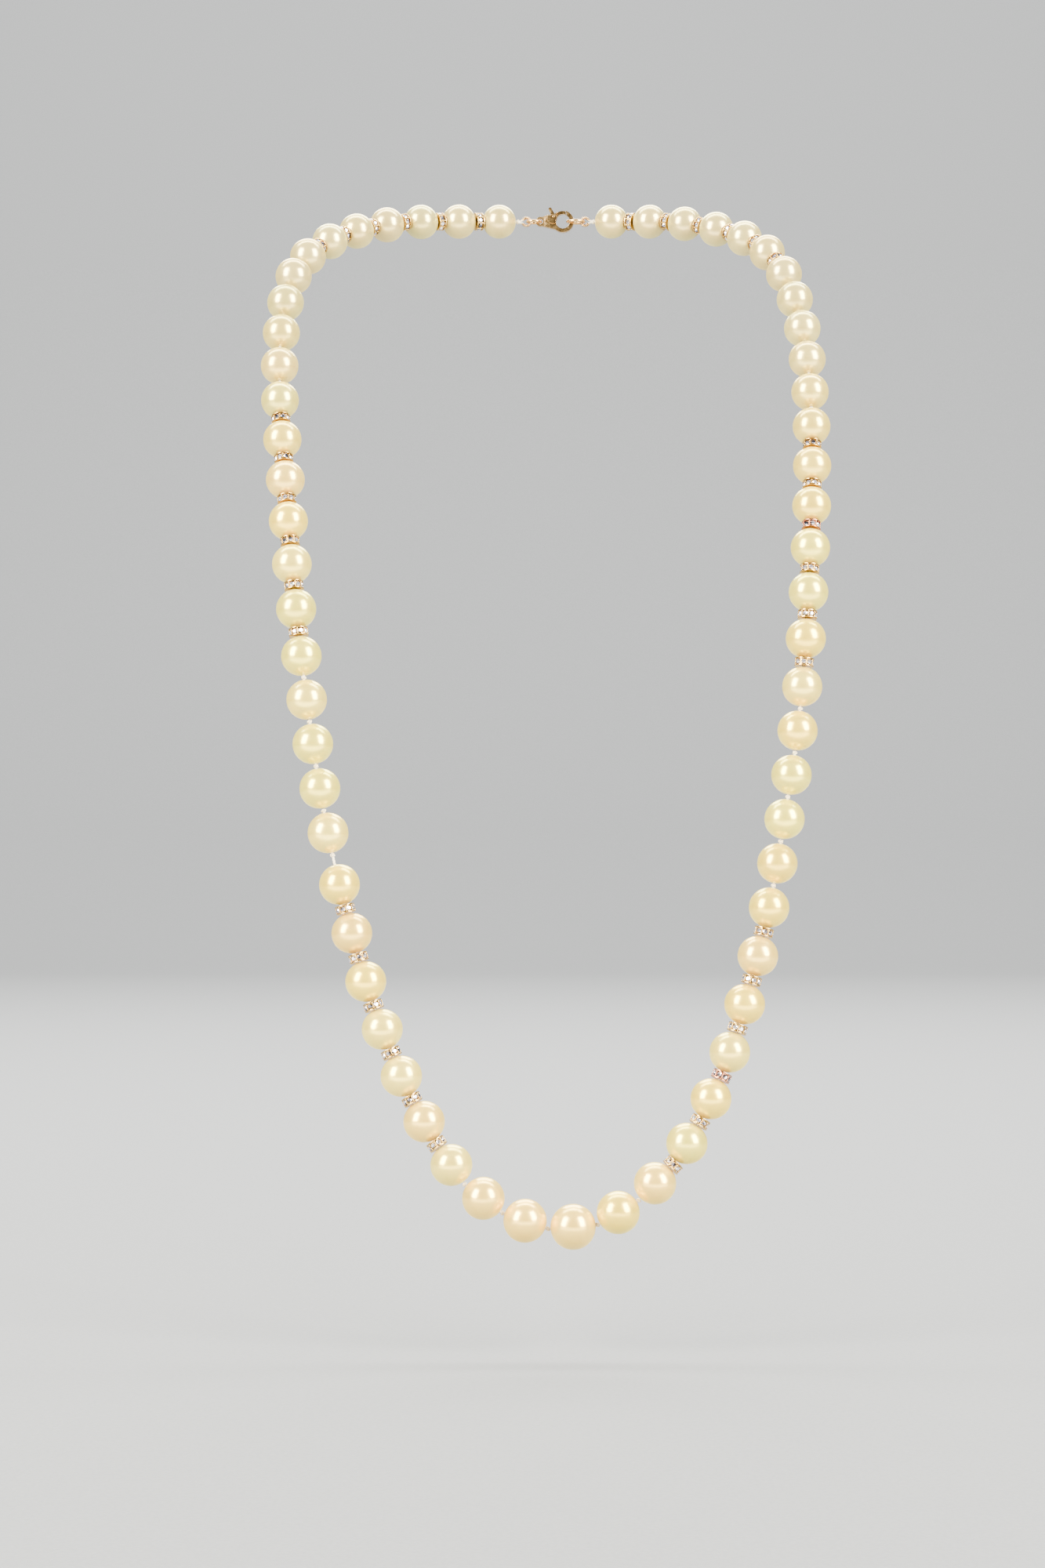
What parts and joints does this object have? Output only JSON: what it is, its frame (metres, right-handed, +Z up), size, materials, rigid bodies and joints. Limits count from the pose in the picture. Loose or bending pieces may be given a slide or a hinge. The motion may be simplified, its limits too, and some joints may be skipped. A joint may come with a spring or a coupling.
{
  "type": "pearl necklace",
  "caption": "Long graduated pearl necklace on knotted silk, with stone-set gold rondelles between pearls and a lobster clasp behind the neck.",
  "frame": {"origin": "the middle of the nape, where the strand bears on the back of the neck", "axes": "+Z up as worn, -Y towards the viewer in front of the wearer, +X to that viewer's right"},
  "size_m": [0.1647, 0.1471, 0.3086],
  "materials": {
    "pearl": "lustrous cream nacre, opaque",
    "silk": "twisted cream silk",
    "gold": "polished, pale gold plate",
    "stone": "clear faceted stones"
  },
  "bodies": {
    "nape": {"pearls_nape": "pearl", "silk_nape": "silk", "settings_nape": "gold", "stones_nape": "stone", "gimp": "gold", "jump_ring": "gold", "end_ring": "gold", "clasp_body": "gold", "clasp_pin": "gold", "clasp_spring": "gold"},
    "row_01": {"pearls_row_01": "pearl", "silk_row_01": "silk"},
    "row_02": {"pearls_row_02": "pearl", "silk_row_02": "silk", "settings_row_02": "gold", "stones_row_02": "stone"},
    "row_03": {"pearls_row_03": "pearl", "silk_row_03": "silk", "settings_row_03": "gold", "stones_row_03": "stone"},
    "row_04": {"pearls_row_04": "pearl", "silk_row_04": "silk", "settings_row_04": "gold", "stones_row_04": "stone"},
    "row_05": {"pearls_row_05": "pearl", "silk_row_05": "silk", "settings_row_05": "gold", "stones_row_05": "stone"},
    "row_06": {"pearls_row_06": "pearl", "silk_row_06": "silk"},
    "row_07": {"pearls_row_07": "pearl", "silk_row_07": "silk"},
    "row_08": {"pearls_row_08": "pearl", "silk_row_08": "silk", "settings_row_08": "gold", "stones_row_08": "stone"},
    "row_09": {"pearls_row_09": "pearl", "silk_row_09": "silk", "settings_row_09": "gold", "stones_row_09": "stone"},
    "row_10": {"pearls_row_10": "pearl", "silk_row_10": "silk", "settings_row_10": "gold", "stones_row_10": "stone"},
    "row_11": {"pearls_row_11": "pearl", "silk_row_11": "silk"},
    "trigger": {"clasp_trigger": "gold"}
  },
  "joints": [
    {"name": "row_01_fold", "type": "hinge", "parent": "nape", "child": "row_01", "pos_m": [0.00086, -0.06755, -0.04205], "axis": [-0.998, 0.0315, 0.0544], "range_deg": [0, 40]},
    {"name": "row_02_fold", "type": "hinge", "parent": "row_01", "child": "row_02", "pos_m": [0.00109, -0.08016, -0.06273], "axis": [-0.9981, 0.0326, 0.0524], "range_deg": [0, 40]},
    {"name": "row_03_fold", "type": "hinge", "parent": "row_02", "child": "row_03", "pos_m": [0.00173, -0.09187, -0.08511], "axis": [-0.998, 0.0338, 0.0527], "range_deg": [0, 12]},
    {"name": "row_04_fold", "type": "hinge", "parent": "row_03", "child": "row_04", "pos_m": [0.0022, -0.10371, -0.10961], "axis": [-0.998, 0.0333, 0.0545], "range_deg": [0, 12]},
    {"name": "row_05_fold", "type": "hinge", "parent": "row_04", "child": "row_05", "pos_m": [0.00264, -0.1121, -0.13572], "axis": [-0.9979, 0.0229, 0.06], "range_deg": [0, 12]},
    {"name": "row_06_fold", "type": "hinge", "parent": "row_05", "child": "row_06", "pos_m": [0.0029, -0.11654, -0.16198], "axis": [-0.9979, 0.0106, 0.0639], "range_deg": [0, 40]},
    {"name": "row_07_fold", "type": "hinge", "parent": "row_06", "child": "row_07", "pos_m": [0.00292, -0.11898, -0.18665], "axis": [-0.9978, 0.0087, 0.0664], "range_deg": [0, 40]},
    {"name": "row_08_fold", "type": "hinge", "parent": "row_07", "child": "row_08", "pos_m": [0.00352, -0.12143, -0.21169], "axis": [-0.9985, 0.011, 0.0539], "range_deg": [0, 12]},
    {"name": "row_09_fold", "type": "hinge", "parent": "row_08", "child": "row_09", "pos_m": [0.00371, -0.12471, -0.23818], "axis": [-0.998, 0.0195, 0.0602], "range_deg": [0, 12]},
    {"name": "row_10_fold", "type": "hinge", "parent": "row_09", "child": "row_10", "pos_m": [0.00385, -0.12862, -0.26367], "axis": [-0.9969, 0.0272, 0.0737], "range_deg": [0, 12]},
    {"name": "row_11_fold", "type": "hinge", "parent": "row_10", "child": "row_11", "pos_m": [0.00263, -0.13284, -0.28657], "axis": [-0.9957, 0.0307, 0.0874], "range_deg": [0, 40]},
    {"name": "trigger_turn", "type": "hinge", "parent": "nape", "child": "trigger", "pos_m": [0.00443, 0.00112, 0.00291], "axis": [0.0573, 0.9984, 0], "range_deg": [0, 30], "stiffness_Nm_per_rad": 0.0004, "springref_deg": -20.05, "deforming": ["clasp_spring"]}
  ]
}
